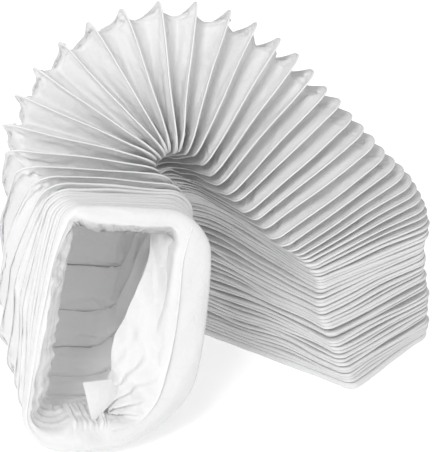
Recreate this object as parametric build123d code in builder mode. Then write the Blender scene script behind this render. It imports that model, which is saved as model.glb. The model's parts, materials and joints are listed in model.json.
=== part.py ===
from build123d import *
import os
from math import pi, radians, sqrt, tan

os.makedirs("parts", exist_ok=True)

# A concertina duct stood on its end, bent over in an arch and turned to open towards -Y.
# It's a spring wire wound in squared turns, with a film welded over it that folds
# inwards between each turn and the next.
#
# Units are mm and degrees. +Z is up, the duct stands on Z = 0, and the origin is the
# centre of its base.

# Wire: the turns keep the length of a 150 mm round duct's, squared to a long rectangle.
NOMINAL_DIAMETER = 150
LONG_SIDE = 154
CORNER_RADIUS = 14
SHORT_SIDE = pi * NOMINAL_DIAMETER / 2 - LONG_SIDE + (4 - pi) * CORNER_RADIUS
WIRE_DIAMETER = 1.2
TIGHT_PITCH = 2.5  # from one turn to the next where the duct is pushed together

# Film between two turns.
FOLD_DEPTH = 16  # how far a closed pleat folds inwards
FOLD_STRETCH = 42  # the gap between turns that would pull a pleat flat
WIRE_CLEARANCE = 0.2
FILM_THICKNESS = 0.2
FILM_EDGE = 0.5  # width of the film's edge where it meets the wire
VALLEY_FILM = 1.5  # film gathered at the bottom of a fold
VALLEY_RADIUS = 4

# Hems and the loose film inside the mouth.
BASE_HEM_HEIGHT = 3
BASE_HEM_WIDTH = 3
MOUTH_HEM_DEPTH = 7
MOUTH_HEM_WIDTH = 15
HEM_ROUNDING = 1.4
TAIL_DEPTH = 24
TAIL_THICKNESS = 0.8

# How the duct is laid out, turn by turn from the base. Each pleat opens by "bend" about
# the turn's inner long side and by "swing" about its near short side, turns by "twist"
# in its own plane and steps sideways by "lean". Values between stations are in line.
BASE_YAW = 27.5
STATIONS = [
    # turn, bend, swing, twist, lean
    (0, 0, 0, -0.7, 0),
    (14, 0.6, -0.3, -0.8, 0),
    (24, -0.4, 0.2, -0.6, 1.5),
    (34, 2.5, -0.5, -0.2, -2.3),
    (38, 1.7, -2.1, -0.7, -2.1),
    (46, 4.9, -2.0, 1.1, 1.0),
    (50, 13.3, 0, 0.4, -0.9),
    (55, 10.1, 0.2, 3.1, -2.4),
    (58, 5.6, 10.5, -7.8, -0.5),
    (61, 0.4, 7.8, 1.1, 0.2),
    (66, 0, 0, 0, 0),
    (70, 0, 0, 0, 0),
]
LAST_TURN = STATIONS[-1][0]

# The turns that move as one piece: the first turn of each.
BASE_STACK = 0
UPPER_STACK = 17
SHOULDERS = [34, 37, 40]
SINGLE_TURNS = list(range(42, 63))
FRONT_STACK = 63
MOUTH_STACK = 67
GROUPS = [BASE_STACK, UPPER_STACK, *SHOULDERS, *SINGLE_TURNS, FRONT_STACK, MOUTH_STACK]


def layout(turn):
    """Bend, swing, twist and lean of the pleat that follows a turn."""
    place = turn + 0.5
    for low, high in zip(STATIONS, STATIONS[1:]):
        if low[0] <= place <= high[0]:
            share = (place - low[0]) / (high[0] - low[0])
            return [a + (b - a) * share for a, b in zip(low[1:], high[1:])]


def pitch(turn):
    """Gap at the pleat's pivot corner, so that no corner closes past the tight pitch."""
    bend, swing, _, _ = layout(turn)
    closing = SHORT_SIDE * radians(max(0, -bend)) + LONG_SIDE * radians(max(0, -swing))
    return TIGHT_PITCH + closing


def step(turn, share):
    """The move from a turn to the next one (share 1) or to the fold between (share 0.5)."""
    bend, swing, twist, lean = [value * share for value in layout(turn)]
    half_pitch = pitch(turn) / 2
    inner = Location((-SHORT_SIDE / 2, 0, 0))
    near = Location((0, -LONG_SIDE / 2, 0))
    move = Location((lean, 0, half_pitch))
    move = move * inner * Location((0, 0, 0), (0, -bend, 0)) * inner.inverse()
    move = move * near * Location((0, 0, 0), (swing, 0, 0)) * near.inverse()
    move = move * Location((0, 0, 0), (0, 0, twist))
    if share == 1:
        move = move * Location((0, 0, half_pitch))
    return move


def lay_out_turns():
    """A location for every turn: X to its outer side, Y to its far side, Z along the duct."""
    base_height = BASE_HEM_HEIGHT + WIRE_DIAMETER / 2 + WIRE_CLEARANCE
    turns = [Location((0, 0, base_height), (0, 0, BASE_YAW))]
    for turn in range(LAST_TURN):
        turns.append(turns[-1] * step(turn, 1))
    return turns


TURNS = lay_out_turns()


def wire_turn(turn):
    """One squared turn of the spring wire."""
    with BuildSketch(Plane(TURNS[turn])) as outline:
        RectangleRounded(SHORT_SIDE, LONG_SIDE, CORNER_RADIUS)
    path = outline.sketch.face().outer_wire()
    with BuildPart() as wire:
        with BuildSketch(Plane(origin=path @ 0, z_dir=path % 0)):
            Circle(WIRE_DIAMETER / 2)
        sweep(path=path)
    return wire.part


def fold_depth(gap):
    """How far the film folds inwards where its two turns are this far apart."""
    return FOLD_DEPTH * sqrt(1 - (min(gap, FOLD_STRETCH - 1) / FOLD_STRETCH) ** 2)


def valley(turn, lift):
    """Size and centre of the bottom of the fold after a turn, made larger by lift."""
    bend, swing, _, _ = layout(turn)
    tight = pitch(turn)
    opening = SHORT_SIDE * tan(radians(bend))
    rising = LONG_SIDE * tan(radians(swing))
    inner = fold_depth(tight + rising / 2) - lift
    outer = fold_depth(tight + opening + rising / 2) - lift
    near = fold_depth(tight + opening / 2) - lift
    far = fold_depth(tight + opening / 2 + rising) - lift
    size = (SHORT_SIDE - inner - outer, LONG_SIDE - near - far)
    centre = ((inner - outer) / 2, (near - far) / 2)
    return size, centre


def fold_section(turn, lift):
    """Outline of the bottom of the fold, drawn half-way between the two turns."""
    size, centre = valley(turn, lift)
    with BuildSketch(Plane(TURNS[turn] * step(turn, 0.5))) as outline:
        with Locations(centre):
            RectangleRounded(*size, VALLEY_RADIUS)
    return outline.sketch.face()


def ridge_section(turn, height, inset):
    """Outline of the film next to a turn, height along the duct from the wire's centre."""
    with BuildSketch(Plane(TURNS[turn] * Location((0, 0, height)))) as outline:
        RectangleRounded(SHORT_SIDE - 2 * inset, LONG_SIDE - 2 * inset, CORNER_RADIUS - inset)
    return outline.sketch.face()


def film_pleat(turn):
    """The film between a turn and the next: a thin skin that folds inwards."""
    start = WIRE_DIAMETER / 2 + WIRE_CLEARANCE
    outside = [
        ridge_section(turn, start, 0),
        ridge_section(turn, start + FILM_THICKNESS, 0),
        fold_section(turn, VALLEY_FILM),
        ridge_section(turn + 1, -start - FILM_THICKNESS, 0),
        ridge_section(turn + 1, -start, 0),
    ]
    inside = [
        ridge_section(turn, start, FILM_EDGE),
        fold_section(turn, 0),
        ridge_section(turn + 1, -start, FILM_EDGE),
    ]
    with BuildPart() as pleat:
        loft(outside, ruled=True)
        loft(inside, ruled=True, mode=Mode.SUBTRACT)
    return pleat.part


def group_name(first):
    """Plain name for the turns that move as one piece."""
    names = {
        BASE_STACK: "base_stack",
        UPPER_STACK: "upper_stack",
        FRONT_STACK: "front_stack",
        MOUTH_STACK: "mouth_stack",
    }
    if first in SHOULDERS:
        return f"shoulder_{SHOULDERS.index(first) + 1}"
    return names.get(first, f"turn_{first}")


def save(pieces, label):
    """Writes one node; identical pieces share it as separate solids."""
    node = Compound(label=label, children=pieces) if len(pieces) > 1 else pieces[0]
    node.label = label
    export_step(node, f"parts/{label}.step")


# Spring wire and film, group by group.
for first, after in zip(GROUPS, GROUPS[1:] + [LAST_TURN + 1]):
    turns = range(first, after)
    save([wire_turn(turn) for turn in turns], f"wire_{group_name(first)}")
    pleats = [turn for turn in turns if turn < LAST_TURN]
    save([film_pleat(turn) for turn in pleats], f"film_{group_name(first)}")

# Hem the duct stands on: a flat band under the lowest turn.
with BuildPart() as base_hem:
    with BuildSketch(Plane(Location((0, 0, 0), (0, 0, BASE_YAW)))):
        RectangleRounded(SHORT_SIDE, LONG_SIDE, CORNER_RADIUS)
        RectangleRounded(
            SHORT_SIDE - 2 * BASE_HEM_WIDTH,
            LONG_SIDE - 2 * BASE_HEM_WIDTH,
            CORNER_RADIUS - BASE_HEM_WIDTH,
            mode=Mode.SUBTRACT,
        )
    extrude(amount=BASE_HEM_HEIGHT)
    fillet(base_hem.faces().sort_by(Axis.Z)[-1].edges(), BASE_HEM_HEIGHT / 3)
save([base_hem.part], "film_base_hem")

# Hem around the mouth: film rolled over the last turn and padded out by its own folds.
mouth_face = TURNS[LAST_TURN] * Location((0, 0, WIRE_DIAMETER / 2 + WIRE_CLEARANCE))
with BuildPart() as mouth_hem:
    with BuildSketch(Plane(mouth_face)):
        RectangleRounded(SHORT_SIDE, LONG_SIDE, CORNER_RADIUS)
        RectangleRounded(
            SHORT_SIDE - 2 * MOUTH_HEM_WIDTH,
            LONG_SIDE - 2 * MOUTH_HEM_WIDTH,
            VALLEY_RADIUS,
            mode=Mode.SUBTRACT,
        )
    extrude(amount=MOUTH_HEM_DEPTH)
    fillet(mouth_hem.edges(), HEM_ROUNDING)
save([mouth_hem.part], "film_mouth_hem")

# Loose end of the film, turned back into the mouth along its inner and lower sides.
tail_top = (-SHORT_SIDE / 2 + FOLD_DEPTH + 3, -LONG_SIDE / 2 + FOLD_DEPTH + 8)
tail_corner = (tail_top[0], LONG_SIDE / 4)
tail_foot = (SHORT_SIDE / 8, LONG_SIDE / 2 - FOLD_DEPTH - 5)
with BuildPart() as tail:
    with BuildSketch(Plane(mouth_face * Location((0, 0, MOUTH_HEM_DEPTH / 2)))):
        with BuildLine():
            Bezier(tail_top, tail_corner, tail_foot)
        trace(line_width=TAIL_THICKNESS)
    extrude(amount=-TAIL_DEPTH)
save([tail.part], "film_tail")
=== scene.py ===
"""The looks of the flexible air duct: creased white film over squared spring wire turns."""

import json
import math

import bmesh
import bpy
import numpy as np
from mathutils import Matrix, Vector

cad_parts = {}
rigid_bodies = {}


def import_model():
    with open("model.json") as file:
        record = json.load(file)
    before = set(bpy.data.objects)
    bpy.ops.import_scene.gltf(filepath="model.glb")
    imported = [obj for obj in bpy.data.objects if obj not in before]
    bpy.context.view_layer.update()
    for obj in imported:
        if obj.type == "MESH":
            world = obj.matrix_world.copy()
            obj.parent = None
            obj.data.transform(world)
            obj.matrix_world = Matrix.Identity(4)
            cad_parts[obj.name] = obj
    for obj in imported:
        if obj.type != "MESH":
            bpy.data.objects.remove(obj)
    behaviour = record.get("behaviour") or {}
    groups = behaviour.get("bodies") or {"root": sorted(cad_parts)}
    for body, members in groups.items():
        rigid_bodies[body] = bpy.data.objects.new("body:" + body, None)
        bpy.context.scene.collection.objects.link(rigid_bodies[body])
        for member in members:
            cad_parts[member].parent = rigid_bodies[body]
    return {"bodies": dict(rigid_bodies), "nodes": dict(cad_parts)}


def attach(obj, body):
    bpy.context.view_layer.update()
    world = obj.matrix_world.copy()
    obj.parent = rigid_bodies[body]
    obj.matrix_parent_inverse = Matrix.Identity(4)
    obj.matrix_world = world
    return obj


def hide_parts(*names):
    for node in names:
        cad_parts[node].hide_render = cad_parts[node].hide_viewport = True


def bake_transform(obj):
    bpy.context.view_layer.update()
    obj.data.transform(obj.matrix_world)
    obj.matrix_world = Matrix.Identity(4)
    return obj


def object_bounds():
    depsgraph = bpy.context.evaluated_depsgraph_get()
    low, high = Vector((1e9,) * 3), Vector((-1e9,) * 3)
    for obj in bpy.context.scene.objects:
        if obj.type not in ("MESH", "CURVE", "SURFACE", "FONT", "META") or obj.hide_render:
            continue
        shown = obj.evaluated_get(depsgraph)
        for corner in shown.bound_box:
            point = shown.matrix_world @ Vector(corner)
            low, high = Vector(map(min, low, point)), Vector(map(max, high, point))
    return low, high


MM = 0.001
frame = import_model()
box_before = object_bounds()


# ---------------------------------------------------------------- the turns, measured from the CAD wires

WELD = 0.001 * MM
GROUPS = [body for body in frame["bodies"] if f"wire_{body}" in frame["nodes"]]


def ring_points(node):
    """The points of each separate wire ring in a CAD wire node."""
    mesh = bmesh.new()
    mesh.from_mesh(node.data)
    bmesh.ops.remove_doubles(mesh, verts=mesh.verts, dist=WELD)
    seen = set()
    rings = []
    for first in mesh.verts:
        if first in seen:
            continue
        seen.add(first)
        ring = [first]
        for vert in ring:
            for edge in vert.link_edges:
                other = edge.other_vert(vert)
                if other not in seen:
                    seen.add(other)
                    ring.append(other)
        rings.append(np.array([vert.co for vert in ring]))
    mesh.free()
    return rings


class Turn:
    """One turn of the wire: its middle, its outer, far and onward directions, and its CAD body."""

    def __init__(self, points, group):
        self.group = group
        rough = points.mean(axis=0)
        far, outer, onward = np.linalg.svd(points - rough, full_matrices=False)[2]
        self.axes = np.array([outer, far, onward])
        spread = (points - rough) @ self.axes.T
        self.middle = rough + (spread.max(axis=0) + spread.min(axis=0)) / 2 @ self.axes
        self.half = (spread.max(axis=0) - spread.min(axis=0)) / 2

    def face_like(self, outer, onward):
        """Turns the axes so that outer and onward point the same way as those given."""
        if self.axes[0] @ outer < 0:
            self.axes[0] *= -1
        if self.axes[2] @ onward < 0:
            self.axes[2] *= -1
        self.axes[1] = np.cross(self.axes[2], self.axes[0])

    def place(self, x, y, z):
        """Points given in this turn's own directions, in the duct's frame."""
        x, y, z = np.broadcast_arrays(x, y, z)
        return self.middle + np.stack([x, y, z], axis=-1) @ self.axes


def measure_turns():
    """All the turns, in order from the base to the mouth."""
    loose = [Turn(points, group)
             for group in GROUPS
             for points in ring_points(frame["nodes"][f"wire_{group}"])]
    turn = min(loose, key=lambda candidate: candidate.middle[2])
    turn.face_like(np.array([1.0, 0, 0]), np.array([0, 0, 1.0]))
    ordered = [turn]
    loose.remove(turn)
    while loose:
        last = ordered[-1]
        turn = min(loose, key=lambda candidate: np.linalg.norm(candidate.middle - last.middle))
        turn.face_like(last.axes[0], last.axes[2])
        ordered.append(turn)
        loose.remove(turn)
    return ordered


TURNS = measure_turns()
LAST = len(TURNS) - 1
WIRE_RADIUS = TURNS[0].half[2]
HALF_SHORT = TURNS[0].half[0] - WIRE_RADIUS
HALF_LONG = TURNS[0].half[1] - WIRE_RADIUS
CLOSED_PITCH = np.linalg.norm(TURNS[1].middle - TURNS[0].middle)


def ramp(value, low, high):
    """Eases from 0 at low to 1 at high."""
    share = np.clip((value - low) / (high - low), 0, 1)
    return share * share * (3 - 2 * share)


# ---------------------------------------------------------------- the squared section

# The corners, in the order used throughout: outer far, inner far, inner near, outer near.
CORNER_SIGNS = np.array([(1, 1), (-1, 1), (-1, -1), (1, -1)])
INNER_NEAR, OUTER_NEAR = 2, 3
CORNER = 14 * MM
VALLEY_CORNER = 4 * MM

# How the film sits on turns of each number. Values between the turns are in line.
SETTLING = [
    # turn, broader, outer side out, far outer corner drawn in, far inner corner pushed out, in mm
    (0, 3, 2, 0, 0),
    (12, 2.5, 2, 0, 0),
    (20, 2, 0.5, 0, 6),
    (25, 1.5, -2, 0, 12),
    (29, 1, 1, 0, 18),
    (34, 0, 4, 0, 20),
    (38, 0, 2, 0, 18),
    (44, 0, 1.5, 0, 14),
    (49, 0, 3, 0, 8),
    (53, 0, 3, 0, 0),
    (56, 0, 4, 6, 0),
    (58, 0, 3, 13, 0),
    (61, 0, 3, 14, 0),
    (64, 0, 2, 8, 0),
    (68, 0, 0, 0, 0),
]

# Where the duct is pressed together below the arch, its inner near corner is sharp.
SHARP_CORNER = 5 * MM
SHARP_UNTIL = (40, 52)   # turns over which that corner opens to the usual one

# Where the fan is open, its outer side sags between its corners.
FAN_SAG = 7 * MM
SAG_STARTS = (36, 46)    # turns over which the sag grows
SAG_ENDS = (54, 59)      # turns over which it goes again

# The mouth: its corners, and how its sides differ from straight ones.
MOUTH_CORNERS = np.array([28, 44, 28, 9]) * MM
MOUTH_SOFTENS = 13       # turns over which the section softens towards it
MOUTH_BULGE = 8 * MM     # inner side
MOUTH_TAPER = 3 * MM     # wider at its far end than at its near end
MOUTH_SPREAD = 5 * MM    # outer side
MOUTH_LEAN = 8 * MM      # outer near corner, drawn in
MOUTH_TILT = 2.5 * MM    # near side, sloping


class Shape:
    """The outline the film takes round one turn."""

    def __init__(self, turn):
        numbers, *columns = zip(*SETTLING)
        settling = [np.interp(turn, numbers, column) * MM for column in columns]
        broader, outward, drawn_in, pushed_out = settling
        self.half_x = HALF_SHORT + broader
        self.half_y = HALF_LONG - broader
        self.outward = outward
        self.drawn_in = drawn_in
        self.pushed_out = pushed_out
        self.sag = FAN_SAG * ramp(turn, *SAG_STARTS) * (1 - ramp(turn, *SAG_ENDS))
        self.soft = max(0.0, 1 - (LAST - turn) / MOUTH_SOFTENS)
        corners = np.full(4, CORNER)
        corners[INNER_NEAR] = np.interp(turn, SHARP_UNTIL, (SHARP_CORNER, CORNER))
        self.corners = corners + (MOUTH_CORNERS - corners) * self.soft

    def settle(self, x, y):
        """Moves the plain squared outline to where the film lies; powers keep each move to its own part."""
        inner = np.clip(-x / self.half_x, 0, 1)
        height = y / self.half_y
        near = np.clip(-height, 0, 1)
        far = np.clip(height, 0, 1)
        x = x - self.soft * MOUTH_BULGE * inner ** 3 * np.clip(1 - height ** 2, 0, 1)
        x = x + self.soft * MOUTH_TAPER * height * (1 - inner)
        outer = np.clip(x / self.half_x, 0, 1)
        x = x + self.soft * (MOUTH_SPREAD - MOUTH_LEAN * near ** 2) * outer
        y = y - self.soft * MOUTH_TILT * near * x / self.half_x
        x = x - self.sag * outer ** 4 * (1 - np.clip(height, -1, 1) ** 6)
        x = x - self.drawn_in * far * np.clip(x / self.half_x, 0, 1)
        x = x - self.pushed_out * far ** 4 * inner ** 4
        return x + self.outward * (1 + x / self.half_x) / 2, y


class Section:
    """Sample points round the squared turn, which can be set in by a different amount at each."""

    def __init__(self, corner_steps, short_steps, long_steps):
        samples = []
        for corner in range(4):
            start = corner * math.pi / 2
            for step in range(corner_steps):
                samples.append((corner, corner, start + step / corner_steps * math.pi / 2, 0.0))
            side_steps = short_steps if corner % 2 == 0 else long_steps
            for step in range(side_steps):
                samples.append((corner, (corner + 1) % 4, start + math.pi / 2, step / side_steps))
        from_corner, to_corner, angle, share = np.array(samples).T
        self.count = len(samples)
        self.from_corner = from_corner.astype(int)
        self.to_corner = to_corner.astype(int)
        self.angle = angle
        self.share = share
        in_corner = self.from_corner == self.to_corner
        self.cornerness = np.where(in_corner, np.sin((angle % (math.pi / 2)) * 2), 0.0)
        self.on_outer_side = (self.from_corner == OUTER_NEAR) & ~in_corner
        x, y = self.outline(Shape(LAST // 2), 0.0)
        lengths = np.hypot(x - np.roll(x, 1), y - np.roll(y, 1))
        self.along = (np.cumsum(lengths) - lengths[0]) / lengths.sum()

    def outline(self, shape, inset):
        """x and y of every sample, set in by inset (which may be an array over the samples)."""
        x = 0
        y = 0
        for corner, weight in ((self.from_corner, 1 - self.share), (self.to_corner, self.share)):
            radius = np.maximum(VALLEY_CORNER, shape.corners[corner] - inset)
            sign_x, sign_y = CORNER_SIGNS[corner].T
            x = x + weight * (sign_x * (shape.half_x - inset - radius) + np.cos(self.angle) * radius)
            y = y + weight * (sign_y * (shape.half_y - inset - radius) + np.sin(self.angle) * radius)
        return shape.settle(x, y)


FILM_SECTION = Section(corner_steps=14, short_steps=44, long_steps=64)
U = FILM_SECTION.along   # share of the way round at each sample
SHAPES = [Shape(i) for i in range(LAST + 1)]
FLAT_SIDE = 0.55   # radians either side of a side's middle over which it keeps its own value


def side_value(shape, far, inner, near, outer):
    """A value round the section that eases from side to side through the corners."""
    x, y = FILM_SECTION.outline(shape, 0.0)
    angle = np.arctan2(y / shape.half_y, x / shape.half_x)
    sides = [(-math.pi, inner), (-math.pi / 2, near), (0, outer), (math.pi / 2, far), (math.pi, inner)]
    angles = []
    values = []
    for (low, low_value), (high, high_value) in zip(sides, sides[1:]):
        angles += [low + FLAT_SIDE, high - FLAT_SIDE]
        values += [low_value, high_value]
    return np.interp(angle, angles, values, period=2 * math.pi)


# ---------------------------------------------------------------- repeatable noise

class Noise:
    """Smooth repeatable noise, with so many cells round the section and along or down it."""

    def __init__(self, seed, cells, amount):
        self.seed = seed
        self.cells = cells
        self.amount = amount

    def at(self, u, v=0.0, number=0):
        """Noise at u, which wraps round at 1, and v, from 0 to 1. Each number has a pattern of its own."""
        dice = np.random.default_rng(self.seed + number)
        cells_u, cells_v = self.cells
        table = dice.uniform(-1, 1, (cells_u, cells_v + 2))
        place_u = (u % 1.0) * cells_u
        place_v = np.clip(v, 0, 1) * cells_v
        i = np.floor(place_u).astype(int)
        j = np.floor(place_v).astype(int)
        s = ramp(place_u - i, 0, 1)
        t = ramp(place_v - j, 0, 1)
        before = i % cells_u
        after = (i + 1) % cells_u
        low = table[before, j] * (1 - s) + table[after, j] * s
        high = table[before, j + 1] * (1 - s) + table[after, j + 1] * s
        return (low * (1 - t) + high * t) * self.amount


# ---------------------------------------------------------------- how each ridge strays

# Outward, in mm.
DRIFT = Noise(seed=11, cells=(9, 8), amount=0.7)
BUNCH = Noise(seed=12, cells=(14, 24), amount=1.1)
OWN_WAY = Noise(seed=100, cells=(11, 1), amount=0.9)
MOUTH_CALM = 0.7         # share of it that dies down at the mouth
CALM_TURNS = (8, 2)      # turns before the last over which it does

# Onward, in mm.
WAVE = Noise(seed=13, cells=(7, 6), amount=1.7)
SHUFFLE = Noise(seed=14, cells=(12, 30), amount=0.9)
JITTER = Noise(seed=300, cells=(16, 1), amount=0.35)
UNEVEN_PITCH = 0.6
PITCH_SEED = 15
FADE_TURNS = 3           # turns over which it dies down at either end
MOUTH_REST = 0.2         # share of it left at the mouth


def ridge_paths():
    """How far each ridge strays outward and onward from its turn, round the section."""
    dice = np.random.default_rng(PITCH_SEED)
    outward = []
    onward = []
    for i in range(LAST + 1):
        row = i / LAST
        calm = 1 - MOUTH_CALM * ramp(i, LAST - CALM_TURNS[0], LAST - CALM_TURNS[1])
        stray = DRIFT.at(U, row) + BUNCH.at(U, row) + OWN_WAY.at(U, number=i)
        outward.append(stray * calm * MM)
        fade = min(1.0, i / FADE_TURNS, (LAST - i) / FADE_TURNS + MOUTH_REST)
        jitter = JITTER.at(U, number=i) + dice.uniform(-UNEVEN_PITCH, UNEVEN_PITCH)
        onward.append((WAVE.at(U, row) + SHUFFLE.at(U, row) + jitter) * fade * MM)
    return np.array(outward), np.array(onward)


RIDGE_OUT, RIDGE_ON = ridge_paths()


# ---------------------------------------------------------------- meshes

def put_in_scene(made):
    """Adds an object to the scene."""
    bpy.context.scene.collection.objects.link(made)
    return made


def mesh_object(name, points, faces):
    """A smooth mesh in the scene, from points in rows."""
    mesh = bpy.data.meshes.new(name)
    mesh.from_pydata(points.reshape(-1, 3).tolist(), [], faces)
    mesh.polygons.foreach_set("use_smooth", [True] * len(mesh.polygons))
    mesh.update()
    return put_in_scene(bpy.data.objects.new(name, mesh))


def grid_faces(rows, columns, first=0, closed=True):
    """Quads of a grid whose rows run round the section."""
    faces = []
    steps = columns if closed else columns - 1
    for row in range(rows - 1):
        low = first + row * columns
        high = low + columns
        for column in range(steps):
            beside = (column + 1) % columns
            faces.append((low + column, low + beside, high + beside, high + column))
    return faces


def weld(piece):
    """Joins the points of a piece that lie on each other."""
    mesh = bmesh.new()
    mesh.from_mesh(piece.data)
    bmesh.ops.remove_doubles(mesh, verts=mesh.verts, dist=WELD)
    mesh.to_mesh(piece.data)
    mesh.free()


def stand_for(piece, body, node):
    """Makes a piece ride on a body and take the place of a CAD node."""
    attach(piece, body)
    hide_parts(node)
    return piece


# ---------------------------------------------------------------- creases in a pleat's walls

# Places and widths are shares of the way round the section or down the wall, pushes are in mm.
CROSS_CREASES = 22       # short ones that run down a wall
CROSS_SLANT = 0.06
CROSS_WIDTH = (0.0025, 0.006)
CROSS_PUSH = 1.04
CROSS_TOP = (-0.4, 0.4)
CROSS_FOOT = (0.5, 1.3)
CROSS_FADE = 0.2

LONG_CREASES = 14        # long ones that run along it
LONG_REACH = (0.04, 0.09)
LONG_HEIGHT = (0.1, 0.9)
LONG_SLANT = 0.45
LONG_WIDTH = (0.08, 0.16)
LONG_PUSH = 1.82


def way_round(start):
    """How far each sample is from start round the section, from -0.5 to 0.5."""
    return (U - start + 0.5) % 1.0 - 0.5


def cross_creases(seed, down):
    """The push of short creases that run down one wall of a pleat, round the section."""
    dice = np.random.default_rng(seed)
    push = np.zeros_like(U)
    for _ in range(CROSS_CREASES):
        start = dice.uniform(0, 1)
        slant = dice.uniform(-CROSS_SLANT, CROSS_SLANT)
        width = dice.uniform(*CROSS_WIDTH)
        height = dice.uniform(-CROSS_PUSH, CROSS_PUSH)
        top = dice.uniform(*CROSS_TOP)
        foot = dice.uniform(*CROSS_FOOT)
        window = ramp(down, top - CROSS_FADE, top) * (1 - ramp(down, foot, foot + CROSS_FADE))
        push += height * np.exp(-(way_round(start + slant * down) / width) ** 2) * window
    return push


def long_creases(seed, down):
    """The push of long creases that run along one wall of a pleat at a slight slant."""
    dice = np.random.default_rng(seed)
    push = np.zeros_like(U)
    for _ in range(LONG_CREASES):
        middle = dice.uniform(0, 1)
        reach = dice.uniform(*LONG_REACH)
        height = dice.uniform(*LONG_HEIGHT)
        slant = dice.uniform(-LONG_SLANT, LONG_SLANT)
        width = dice.uniform(*LONG_WIDTH)
        strength = dice.uniform(-LONG_PUSH, LONG_PUSH)
        along = way_round(middle) / reach
        push += strength * np.exp(-along ** 4) * np.exp(-((down - height - slant * along) / width) ** 2)
    return push


# ---------------------------------------------------------------- the film

BEAD = WIRE_RADIUS + 0.2 * MM   # from the wire's centre to the film over it
SWELL = 0.47                    # half-width of the film over a wire, as a share of the way to the next turn
SWELL_LIMITS = (0.8 * BEAD, 1.6 * BEAD)
OPEN_SWELL = 0.7 * BEAD         # its half-width where the pleat is open
PARTING = (1.5 * BEAD, 5 * BEAD)   # gaps over which it narrows to that

FOLD_DEPTH = 16 * MM
WIDE_GAP = 24 * MM
WIDE_LOSS = 0.36         # share of the depth that a pleat loses by a wide gap
LOSS_LIMIT = 1.2
CREASED_GAP = 20 * MM    # gap from which a wall is as creased as it gets
FLAT_TURNS = (54, 60)    # turns over which the folds go flat towards the mouth, on the outer side
FLATTEST = 0.9
WALL_CURVE = 1.2

VALLEY_DRIFT = 0.1       # how far the fold settles towards the next ridge in the fan
DRIFT_TURNS = (44, 52)
VALLEY_WANDER = 0.05     # how far it wanders in a shut pleat, and how much farther in an open one
OPEN_WANDER = 0.09

EAR = 3.6                # how far the film keeps to the ridges in an open pleat, as in the fan's tips
SIDE_EAR = 0.35          # share of it on the sides other than the outer one
EAR_SHARE = SIDE_EAR + (1 - SIDE_EAR) * np.maximum(FILM_SECTION.cornerness, FILM_SECTION.on_outer_side)

# Shares down a pleat's wall where the film has points, for pleats lying shut, parted and wide open.
SHUT_WALL = [0.1, 0.35, 1.0]
PARTED_WALL = [0.05, 0.14, 0.27, 0.44, 0.62, 0.8, 1.0]
WIDE_WALL = [0.03, 0.07, 0.12, 0.18, 0.25, 0.33, 0.41, 0.5, 0.6, 0.7, 0.8, 0.9, 1.0]
SHUT_GAP = 2 * CLOSED_PITCH
PARTED_GAP = 12 * MM
SHUT_BEAD_STEPS = 3      # points from the wire's outermost line to the pleat's wall
OPEN_BEAD_STEPS = 4

# Noise in the film. The amounts of the first two are shares, the others mm.
UNEVEN_DEPTH = Noise(seed=500, cells=(12, 1), amount=0.08)
WANDER = Noise(seed=700, cells=(9, 1), amount=1)
BROAD = Noise(seed=900, cells=(24, 3), amount=1.3)
FINE = Noise(seed=1100, cells=(70, 5), amount=0.6)
CRUMPLE = Noise(seed=1300, cells=(130, 5), amount=2.4)
BROAD_SLANT = 0.03
FINE_SLANT = -0.02
CROSS_SEED = 1500
LONG_SEED = 1700


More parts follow.
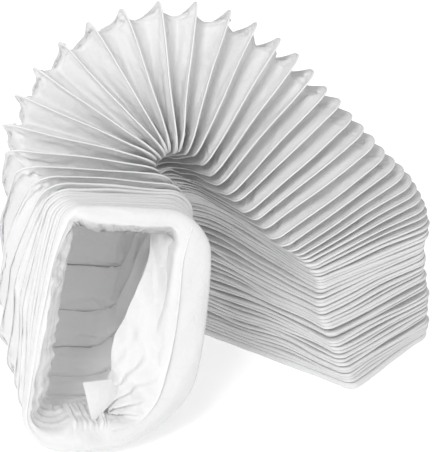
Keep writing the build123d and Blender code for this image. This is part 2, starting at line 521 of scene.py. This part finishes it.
class Pleat:
    """The film between ridge i and ridge i + 1: its points, and how far each is from one to the other."""

    def __init__(self, i):
        self.i = i
        gap = np.linalg.norm(self.over_wire(1, 0, BEAD) - self.over_wire(0, 0, BEAD), axis=1)
        swell = np.clip((gap + 2 * BEAD) * SWELL, *SWELL_LIMITS)
        self.swell = swell + (OPEN_SWELL - swell) * ramp(gap, *PARTING)
        self.openness = np.clip(gap / CREASED_GAP, 0, 1)
        flat = side_value(SHAPES[i], far=0.3, inner=0, near=0, outer=1) * ramp(i, *FLAT_TURNS)
        depth = FOLD_DEPTH * (1 - WIDE_LOSS * np.clip(gap / WIDE_GAP, 0, LOSS_LIMIT))
        self.depth = depth * (1 + UNEVEN_DEPTH.at(U, number=i)) * (1 - FLATTEST * flat)
        drift = VALLEY_DRIFT * ramp(i, *DRIFT_TURNS) * self.openness
        wander = (VALLEY_WANDER + OPEN_WANDER * self.openness) * WANDER.at(U, number=i)
        self.valley_at = 0.5 + drift + wander
        self.ear = 1 + EAR * self.openness * EAR_SHARE

        self.points = []
        self.shares = []
        walls = SHUT_WALL
        bead_steps = SHUT_BEAD_STEPS
        if gap.max() > SHUT_GAP:
            walls = PARTED_WALL if gap.max() < PARTED_GAP else WIDE_WALL
            bead_steps = OPEN_BEAD_STEPS
        angles = [math.pi / 2 * (1 - step / (bead_steps - 1)) for step in range(bead_steps)]
        for angle in angles:
            self.add(self.over_wire(0, angle, self.swell), np.zeros_like(U))
        for down in walls:
            self.add(*self.on_wall(0, down))
        for down in walls[-2::-1]:
            self.add(*self.on_wall(1, down))
        for angle in reversed(angles):
            self.add(self.over_wire(1, angle, self.swell), np.ones_like(U))

    def add(self, points, share):
        """Adds a row of points, and how far each is from ridge i to ridge i + 1."""
        self.points.append(points)
        self.shares.append(share)

    def over_wire(self, end, angle, swell):
        """Film over the wire at ridge i + end, at an angle up from the side that faces the pleat."""
        ridge = self.i + end
        facing = 1 if end == 0 else -1
        lift = BEAD * math.sqrt(math.sin(angle))
        x, y = FILM_SECTION.outline(SHAPES[ridge], -RIDGE_OUT[ridge] - lift)
        return TURNS[ridge].place(x, y, RIDGE_ON[ridge] + facing * swell * math.cos(angle))

    def creases(self, side, down):
        """How far the wall on one side is pushed along the duct at a share down it."""
        wall = 2 * self.i + side
        push = BROAD.at(U + BROAD_SLANT * down, down, wall) + FINE.at(U + FINE_SLANT * down, down, wall)
        push = push + CRUMPLE.at(U, down, wall) * FILM_SECTION.cornerness
        push = push + cross_creases(CROSS_SEED + wall, down) + long_creases(LONG_SEED + wall, down)
        rise = math.sin(math.pi * down) if down < 1 else 0.0
        return push * rise * np.sqrt(self.openness) * MM

    def on_wall(self, side, down):
        """Film at a share down the wall on one side (0 before the valley, 1 after it)."""
        lean = down ** self.ear
        share = self.valley_at * lean if side == 0 else 1 - (1 - self.valley_at) * lean
        inset = self.depth * (1 - (1 - down) ** WALL_CURVE)
        push = self.creases(side, down)
        ends = []
        for ridge, facing in ((self.i, 1), (self.i + 1, -1)):
            x, y = FILM_SECTION.outline(SHAPES[ridge], inset - RIDGE_OUT[ridge])
            ends.append(TURNS[ridge].place(x, y, RIDGE_ON[ridge] + facing * self.swell + push))
        low, high = ends
        return low + (high - low) * share[:, None], share


def film_between(pleat, before):
    """A pleat between two bodies, as a piece of its own."""
    points = np.array(pleat.points)
    shares = np.array(pleat.shares, dtype=np.float32)
    piece = mesh_object(f"film_pleat_{pleat.i}_{pleat.i + 1}", points, grid_faces(*shares.shape))
    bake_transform(piece)
    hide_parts(f"film_{before}")
    return piece


def film_inside(group, pleats):
    """The pleats of one body, as one piece that rides on it."""
    points = []
    faces = []
    for pleat in pleats:
        faces += grid_faces(len(pleat.points), FILM_SECTION.count, len(points) * FILM_SECTION.count)
        points += pleat.points
    piece = mesh_object(f"film_of_{group}", np.array(points), faces)
    weld(piece)
    return stand_for(piece, group, f"film_{group}")


def build_film():
    """All the pleats: first those between bodies, then those inside them."""
    made = []
    inside = {group: [] for group in GROUPS}
    for i in range(LAST):
        before = TURNS[i].group
        after = TURNS[i + 1].group
        if before == after:
            inside[before].append(Pleat(i))
        else:
            made.append(film_between(Pleat(i), before))
    return made + [film_inside(group, pleats) for group, pleats in inside.items() if pleats]


# ---------------------------------------------------------------- the hems

# The mouth hem's profile, row by row: share of its width inwards and lift out of the mouth in mm.
MOUTH_PROFILE = [
    (-0.08, 1.2), (-0.1, 2.6), (-0.06, 3.9), (0.03, 4.8), (0.1, 5.4), (0.2, 5.7), (0.32, 5.8),
    (0.45, 5.7), (0.58, 5.4), (0.7, 4.9), (0.81, 4.2), (0.9, 3.3), (0.96, 2.1), (1.0, 0.6)]
INSIDE_DEPTH = 16        # mm that the hem reaches into the mouth, in rows of 1 mm
INSIDE_LEAN = 0.006
MOUTH_PROFILE += [(1 + INSIDE_LEAN * down, -down) for down in range(1, INSIDE_DEPTH + 1)]

# Rows of the profile over which each thing sets in.
LOOSE_ROWS = (0, 4)
SWEEP_UP_ROWS = (2, 7)
SWEEP_IN_ROWS = (4, 9)
INSIDE_ROWS = (9, 13)
PLEAT_ROWS = (12, 17)
JOIN_ROWS = (-1, 2)

# Noise in the mouth hem, and how far each kind moves the film inwards and up, in mm.
HEM_WIDTH = Noise(seed=2001, cells=(18, 1), amount=0.12)
PUCKERS = Noise(seed=2002, cells=(90, 2), amount=1)
FINE_PUCKERS = Noise(seed=2003, cells=(170, 3), amount=0.6)
SWEEP = Noise(seed=2004, cells=(13, 5), amount=1)
STRANDS = Noise(seed=2005, cells=(16, 14), amount=1)
PLEAT_START = Noise(seed=2006, cells=(9, 1), amount=9)
SWEEP_SLANT = 0.01
STRAND_SLANT = 0.012
PLEATS_PER_MM = 1.3
PUCKER_IN, PUCKER_UP = 1.6, 1.5
SWEEP_IN, SWEEP_UP = 0.9, 1.5
STRAND_IN, STRAND_UP = 1.3, 1.1
PLEAT_IN = 1.2
RIDGE_LOSS = 0.5         # share of the ridge's stray that's lost inside the mouth


def build_mouth_hem():
    """The soft hem round the mouth: thin on its outer side, gathered below, loosely folded above."""
    turn, shape = TURNS[LAST], SHAPES[LAST]
    width = side_value(shape, far=16, inner=19, near=10, outer=3.5) * MM
    height = side_value(shape, far=1.0, inner=0.9, near=0.8, outer=0.5)
    slant = side_value(shape, far=0.1, inner=0, near=0.15, outer=0.75)
    gather = side_value(shape, far=1.0, inner=0, near=0.2, outer=0.5)
    loose = side_value(shape, far=0.3, inner=0.5, near=1.0, outer=0.3)
    pleated = side_value(shape, far=0.1, inner=0, near=0.3, outer=1)
    width = width * (1 + gather * HEM_WIDTH.at(U))
    x, y = FILM_SECTION.outline(shape, -RIDGE_OUT[LAST] - BEAD)
    rows = [turn.place(x, y, RIDGE_ON[LAST])]
    for k, (share, lift) in enumerate(MOUTH_PROFILE):
        row = k / len(MOUTH_PROFILE)
        below = max(0, -lift)
        inside = ramp(k, *INSIDE_ROWS)
        puckers = (PUCKERS.at(U, row) + FINE_PUCKERS.at(U, row)) * gather * inside
        sweep = SWEEP.at(U + SWEEP_SLANT * k, row)
        strands = STRANDS.at(U + STRAND_SLANT * k, row)
        pleats = np.sin(below * PLEATS_PER_MM + PLEAT_START.at(U))
        set_in = slant * below + PUCKER_IN * puckers + SWEEP_IN * sweep * ramp(k, *SWEEP_IN_ROWS)
        set_in = set_in + (PLEAT_IN * pleats + STRAND_IN * strands) * pleated * ramp(k, *PLEAT_ROWS)
        up = lift * height if lift > 0 else lift
        up = up + PUCKER_UP * puckers + SWEEP_UP * sweep * ramp(k, *SWEEP_UP_ROWS)
        up = up + STRAND_UP * strands * loose * ramp(k, *LOOSE_ROWS)
        ridge_out = RIDGE_OUT[LAST] * (1 - RIDGE_LOSS * inside)
        ridge_on = RIDGE_ON[LAST] * (1 - ramp(k, *JOIN_ROWS))
        x, y = FILM_SECTION.outline(shape, share * width + set_in * MM - ridge_out)
        rows.append(turn.place(x, y, up * MM + ridge_on))
    piece = mesh_object("mouth_hem_film", np.array(rows), grid_faces(len(rows), FILM_SECTION.count))
    return stand_for(piece, turn.group, "film_mouth_hem")


# The base hem's profile, row by row: how far inwards in mm, and down as a share of the way to the floor.
BASE_PROFILE = [
    (-1.1, 0.35), (-0.9, 0.65), (-0.2, 0.9), (0.9, 0.985),
    (2.2, 0.99), (3.2, 0.9), (3.6, 0.6), (3.4, 0.2)]
BASE_FOLDS = Noise(seed=2101, cells=(40, 2), amount=0.4)


def build_base_hem():
    """The rolled hem the duct stands on."""
    turn, shape = TURNS[0], SHAPES[0]
    to_floor = turn.middle[2]
    x, y = FILM_SECTION.outline(shape, -RIDGE_OUT[0] - BEAD)
    rows = [turn.place(x, y, RIDGE_ON[0])]
    for k, (set_in, drop) in enumerate(BASE_PROFILE):
        folds = BASE_FOLDS.at(U, k / len(BASE_PROFILE))
        x, y = FILM_SECTION.outline(shape, (set_in + folds) * MM - RIDGE_OUT[0])
        rows.append(turn.place(x, y, -drop * to_floor))
    piece = mesh_object("base_hem_film", np.array(rows), grid_faces(len(rows), FILM_SECTION.count))
    return stand_for(piece, turn.group, "film_base_hem")


# ---------------------------------------------------------------- the loose film inside the mouth

# In the mouth's own directions, in mm: where the sheet leaves the hem, where it ends, and the point
# its folds run to.
RIM_LINE = [(-37, -66), (-34, -45), (-35, -20), (-35, 5), (-33, 28), (-29, 48), (-18, 62), (-2, 66)]
FREE_LINE = [(-19, -68), (-22, -48), (-21, -31), (-15, -14), (-9, 2), (-3, 20), (-4, 34), (-2, 50)]
PINCH = (4, 60)
SHEET_ROWS = 34
SHEET_COLUMNS = 90
RIM_LIFT = 5.5           # lift of the sheet at the hem
SHEET_DROP = 24          # how far it drops into the mouth by its free edge
DROP_CURVE = 0.8
FOOT_RISE = 6            # how much less it drops at its foot
FOLDS = 21               # in a full turn round the pinch
FOLD_SHIFT = 0.06        # radians of a fold they shift by, per mm from it
FOLD_REACH = 55          # distance over which they die away
FOLD_LIFT = 2.6
HELD_SHARE = 0.2         # share of its width over which the hem holds the sheet flat
SHEET_WAVES = Noise(seed=2201, cells=(22, 5), amount=2.0)
SHEET_CRINKLES = Noise(seed=2202, cells=(46, 8), amount=0.6)
SHEET_LENGTH = 0.5       # of the way round the noise
CRINKLE_SLANT = 0.05

# The turned-up end of the film, corner by corner: across, down and lift.
FLAP = np.array([(16, 38, -7), (-4, 39, -11), (-11, 47, -8), (10, 62, 1)], float)
FLAP_STEPS = 12
FLAP_CROWN = 1.6


def smooth_line(points, share):
    """Points along a smooth curve through the given ones."""
    points = np.array(points, float)
    place = share * (len(points) - 1)
    i = np.clip(np.floor(place).astype(int), 0, len(points) - 2)
    t = (place - i)[:, None]
    before = points[np.maximum(i - 1, 0)]
    after = points[np.minimum(i + 2, len(points) - 1)]
    a, b = points[i], points[i + 1]
    return 0.5 * (2 * a + (b - before) * t + (2 * before - 5 * a + 4 * b - after) * t ** 2
                  + (3 * a - before - 3 * b + after) * t ** 3)


def sheet_points():
    """The hanging sheet, as rows from the hem to its free edge, drawn together at its foot."""
    share = np.linspace(0, 1, SHEET_COLUMNS)
    rim = smooth_line(RIM_LINE, share)
    free = smooth_line(FREE_LINE, share)
    rows = []
    for across in np.linspace(0, 1, SHEET_ROWS):
        flat = rim + (free - rim) * across
        away = flat - np.array(PINCH)
        distance = np.hypot(away[:, 0], away[:, 1])
        bearing = np.arctan2(away[:, 1], away[:, 0])
        folds = np.sin(bearing * FOLDS + FOLD_SHIFT * distance)
        folds *= np.exp(-distance / FOLD_REACH) * FOLD_LIFT
        folds += SHEET_WAVES.at(share * SHEET_LENGTH, across)
        folds += SHEET_CRINKLES.at(share * SHEET_LENGTH + across * CRINKLE_SLANT, across)
        drop = SHEET_DROP * across ** DROP_CURVE - FOOT_RISE * share * across
        lift = RIM_LIFT - drop + folds * ramp(across, 0, HELD_SHARE)
        rows.append(np.column_stack([flat, lift]))
    return np.array(rows)


def flap_points():
    """The turned-up end, a little crowned, as rows from its top to its foot."""
    across = np.linspace(0, 1, FLAP_STEPS)[:, None]
    down = np.linspace(0, 1, FLAP_STEPS)[:, None, None]
    top = FLAP[0] * (1 - across) + FLAP[1] * across
    foot = FLAP[3] * (1 - across) + FLAP[2] * across
    points = top + (foot - top) * down
    points[..., 2] += FLAP_CROWN * np.sin(across[..., 0] * math.pi) * np.sin(down[..., 0] * math.pi)
    return points


def build_tail():
    """The loose film that hangs inside the mouth, with its turned-up end."""
    turn = TURNS[LAST]
    faces = grid_faces(SHEET_ROWS, SHEET_COLUMNS, closed=False)
    faces += grid_faces(FLAP_STEPS, FLAP_STEPS, SHEET_ROWS * SHEET_COLUMNS, closed=False)
    points = np.concatenate([sheet_points().reshape(-1, 3), flap_points().reshape(-1, 3)])
    piece = mesh_object("loose_film_tail", turn.place(*(points * MM).T), faces)
    return stand_for(piece, turn.group, "film_tail")


# ---------------------------------------------------------------- the spring wire

WIRE_SECTION = Section(corner_steps=6, short_steps=10, long_steps=16)
WIRE_SIDES = 6


def build_wires():
    """The wire turns of each body as one piece, straying with the film over them."""
    made = []
    for group in GROUPS:
        points = []
        faces = []
        for i, turn in enumerate(TURNS):
            if turn.group != group:
                continue
            out = np.interp(WIRE_SECTION.along, U, RIDGE_OUT[i])
            on = np.interp(WIRE_SECTION.along, U, RIDGE_ON[i])
            faces += grid_faces(WIRE_SIDES + 1, WIRE_SECTION.count, len(points) * WIRE_SECTION.count)
            for side in range(WIRE_SIDES + 1):
                angle = 2 * math.pi * side / WIRE_SIDES
                x, y = WIRE_SECTION.outline(SHAPES[i], -out - WIRE_RADIUS * math.sin(angle))
                points.append(turn.place(x, y, on + WIRE_RADIUS * math.cos(angle)))
        piece = mesh_object(f"spring_wire_of_{group}", np.array(points), faces)
        weld(piece)
        made.append(stand_for(piece, group, f"wire_{group}"))
    return made


# ---------------------------------------------------------------- materials

def new_material(name):
    """A new material, its node tree and its main shader."""
    material = bpy.data.materials.new(name)
    material.use_nodes = True
    tree = material.node_tree
    return material, tree, tree.nodes["Principled BSDF"]


def add_node(tree, kind, **values):
    """A node with some of its inputs, or else its own settings, given by name."""
    node = tree.nodes.new(kind)
    for key, value in values.items():
        if key in node.inputs:
            node.inputs[key].default_value = value
        else:
            setattr(node, key, value)
    return node


def noise_nodes(tree, *settings):
    """Noise textures over the object's own coordinates."""
    place = tree.nodes.new("ShaderNodeTexCoord").outputs["Object"]
    nodes = [add_node(tree, "ShaderNodeTexNoise", **values) for values in settings]
    for node in nodes:
        tree.links.new(place, node.inputs["Vector"])
    return nodes


def colour_by(tree, noise, tones):
    """A colour that varies with a noise texture from one tone to another."""
    blend = tree.nodes.new("ShaderNodeValToRGB")
    for element, tone in zip(blend.color_ramp.elements, tones):
        element.color = tone
    tree.links.new(noise.outputs["Fac"], blend.inputs["Fac"])
    return blend.outputs["Color"]


def bump_by(tree, noise, strength, distance):
    """Bumps in a surface that follow a noise texture."""
    bump = add_node(tree, "ShaderNodeBump", Strength=strength, Distance=distance)
    tree.links.new(noise.outputs["Fac"], bump.inputs["Height"])
    return bump


FILM_TONES = ((0.76, 0.76, 0.765, 1), (0.83, 0.83, 0.83, 1))
FILM_ROUGHNESS = (0.34, 0.52)
FILM_SEE_THROUGH = 0.22
STEEL_TONES = ((0.45, 0.45, 0.47, 1), (0.66, 0.66, 0.68, 1))
STEEL_ROUGHNESS = 0.35
FLOOR_TONES = ((0.93, 0.93, 0.93, 1), (0.95, 0.95, 0.95, 1))
FLOOR_ROUGHNESS = 0.9
FLOOR_GLOW = 0.4


def film_material():
    """Thin white vinyl film: satin, finely crinkled, a little uneven in tone."""
    material, tree, shader = new_material("white_film")
    cloud, crinkle, grain = noise_nodes(
        tree,
        dict(Scale=28.0, Detail=4.0),
        dict(Scale=150.0, Detail=7.0, Roughness=0.55, Distortion=1.2),
        dict(Scale=1400.0, Detail=2.0))
    colour = colour_by(tree, cloud, FILM_TONES)
    tree.links.new(colour, shader.inputs["Base Color"])
    roughness = add_node(tree, "ShaderNodeMapRange")
    roughness.inputs["To Min"].default_value = FILM_ROUGHNESS[0]
    roughness.inputs["To Max"].default_value = FILM_ROUGHNESS[1]
    tree.links.new(crinkle.outputs["Fac"], roughness.inputs["Value"])
    tree.links.new(roughness.outputs["Result"], shader.inputs["Roughness"])
    creases = bump_by(tree, crinkle, strength=0.8, distance=0.8 * MM)
    surface = bump_by(tree, grain, strength=0.2, distance=0.05 * MM)
    tree.links.new(creases.outputs["Normal"], surface.inputs["Normal"])
    tree.links.new(surface.outputs["Normal"], shader.inputs["Normal"])
    through = tree.nodes.new("ShaderNodeBsdfTranslucent")
    tree.links.new(colour, through.inputs["Color"])
    tree.links.new(surface.outputs["Normal"], through.inputs["Normal"])
    mix = add_node(tree, "ShaderNodeMixShader", Fac=FILM_SEE_THROUGH)
    tree.links.new(shader.outputs["BSDF"], mix.inputs[1])
    tree.links.new(through.outputs["BSDF"], mix.inputs[2])
    tree.links.new(mix.outputs["Shader"], tree.nodes["Material Output"].inputs["Surface"])
    return material


def wire_material():
    """Bare spring steel, a little uneven in tone."""
    material, tree, shader = new_material("spring_steel")
    drawn, = noise_nodes(tree, dict(Scale=900.0, Detail=3.0))
    colour = colour_by(tree, drawn, STEEL_TONES)
    tree.links.new(colour, shader.inputs["Base Color"])
    shader.inputs["Metallic"].default_value = 1.0
    shader.inputs["Roughness"].default_value = STEEL_ROUGHNESS
    surface = bump_by(tree, drawn, strength=0.3, distance=0.03 * MM)
    tree.links.new(surface.outputs["Normal"], shader.inputs["Normal"])
    return material


def floor_material():
    """Pale matt floor that glows a little, so that it stays close to white."""
    material, tree, shader = new_material("pale_floor")
    cloud, = noise_nodes(tree, dict(Scale=3.0, Detail=2.0))
    colour = colour_by(tree, cloud, FLOOR_TONES)
    tree.links.new(colour, shader.inputs["Base Color"])
    shader.inputs["Roughness"].default_value = FLOOR_ROUGHNESS
    shader.inputs["Emission Color"].default_value = (1, 1, 1, 1)
    shader.inputs["Emission Strength"].default_value = FLOOR_GLOW
    return material


# ---------------------------------------------------------------- stage, light, camera

MIDDLE = (box_before[0] + box_before[1]) / 2
FLOOR_REACH = 4

CAMERA_AZIMUTH = math.radians(-24.5)
CAMERA_ELEVATION = math.radians(24.6)
CAMERA_DISTANCE = 1.129
AIM_OFFSET = Vector((0.0084, -0.0187, -0.0295))   # from the middle of the duct's box
LENS = 136.7

KEY_FROM = Vector((-0.52, -0.56, 0.64)).normalized()
KEY_DISTANCE = 1.4
KEY_SIZE = 0.45
KEY_POWER = 9.2

SKY_FROM = Vector((-0.8, -0.3, 0.5)).normalized()
SKY_DARKEST = 0.48
SKY_BRIGHTEST = 0.97


def put_facing(made, location, direction):
    """Puts a camera or light in place, facing along direction."""
    made.location = location
    made.rotation_euler = direction.to_track_quat("-Z", "Y").to_euler()


def add_camera():
    camera = put_in_scene(bpy.data.objects.new("camera", bpy.data.cameras.new("camera")))
    back = Vector((math.sin(CAMERA_AZIMUTH) * math.cos(CAMERA_ELEVATION),
                   -math.cos(CAMERA_AZIMUTH) * math.cos(CAMERA_ELEVATION),
                   math.sin(CAMERA_ELEVATION)))
    put_facing(camera, MIDDLE + AIM_OFFSET + back * CAMERA_DISTANCE, -back)
    camera.data.lens = LENS
    bpy.context.scene.camera = camera


def add_floor():
    corners = np.array([(-1, -1, 0), (1, -1, 0), (1, 1, 0), (-1, 1, 0)], float) * FLOOR_REACH
    floor = mesh_object("floor", corners, [(0, 1, 2, 3)])
    floor.data.materials.append(floor_material())


def add_sky():
    """White all round, brighter on one side."""
    world = bpy.data.worlds.new("world")
    bpy.context.scene.world = world
    world.use_nodes = True
    tree = world.node_tree
    background = tree.nodes["Background"]
    background.inputs["Color"].default_value = (1, 1, 1, 1)
    direction = tree.nodes.new("ShaderNodeTexCoord").outputs["Generated"]
    facing = add_node(tree, "ShaderNodeVectorMath", operation="DOT_PRODUCT")
    facing.inputs[1].default_value = SKY_FROM
    strength = add_node(tree, "ShaderNodeMapRange")
    strength.inputs["From Min"].default_value = -1
    strength.inputs["To Min"].default_value = SKY_DARKEST
    strength.inputs["To Max"].default_value = SKY_BRIGHTEST
    tree.links.new(direction, facing.inputs[0])
    tree.links.new(facing.outputs["Value"], strength.inputs["Value"])
    tree.links.new(strength.outputs["Result"], background.inputs["Strength"])


def add_key_light():
    light = bpy.data.lights.new("key", "AREA")
    light.size = KEY_SIZE
    light.energy = KEY_POWER
    made = put_in_scene(bpy.data.objects.new("key", light))
    put_facing(made, MIDDLE + KEY_FROM * KEY_DISTANCE, -KEY_FROM)


# ---------------------------------------------------------------- build

def finish_pieces(pieces, material):
    """Gives pieces their material."""
    for piece in pieces:
        piece.data.materials.append(material)


finish_pieces(build_film() + [build_mouth_hem(), build_base_hem(), build_tail()], film_material())
finish_pieces(build_wires(), wire_material())
add_floor()
add_sky()
add_key_light()
add_camera()
bpy.context.scene.view_settings.view_transform = "Standard"
